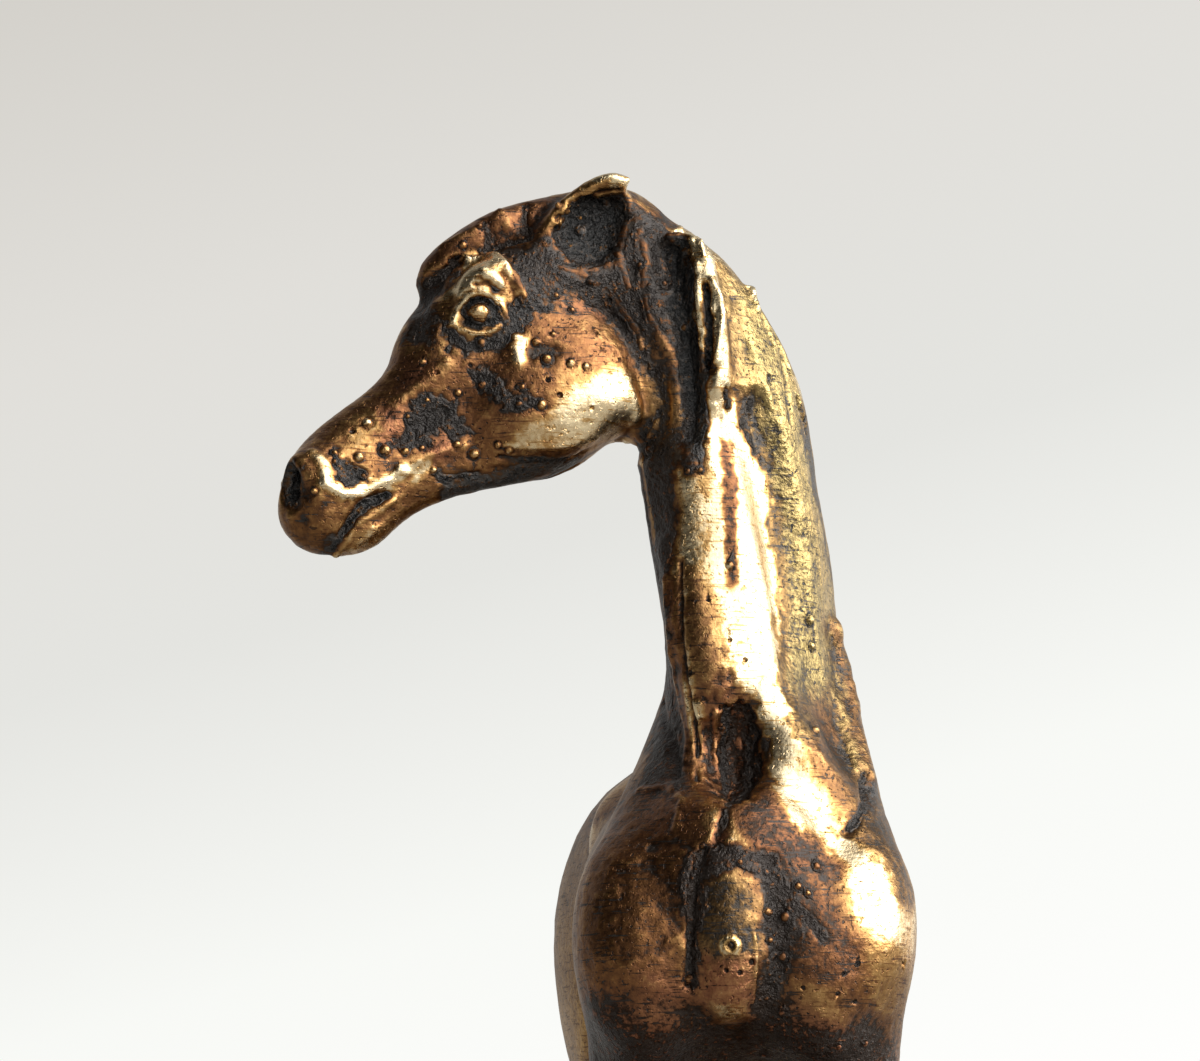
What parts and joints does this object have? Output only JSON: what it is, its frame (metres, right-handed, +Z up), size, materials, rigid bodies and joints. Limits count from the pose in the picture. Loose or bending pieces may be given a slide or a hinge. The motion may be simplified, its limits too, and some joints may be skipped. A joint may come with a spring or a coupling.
{
  "type": "bronze horse statuette",
  "caption": "Small cast bronze horse that stands square on a low rounded plinth, its neck raised and its head turned to its own right.",
  "frame": {"origin": "centre of the plinth's underside, on the surface that it stands on", "axes": "+Z up, the horse faces -Y, and its left side is towards +X"},
  "size_m": [0.033, 0.0615, 0.0721],
  "materials": {
    "rubbed_bronze": "hand-rubbed bright on high spots, red-brown in between, near-black patina with pits and casting beads in the hollows",
    "plinth_bronze": "dark brown patina, rubbed bright along the upper edge"
  },
  "bodies": {
    "root": {"horse": "rubbed_bronze", "plinth": "plinth_bronze"}
  },
  "joints": []
}
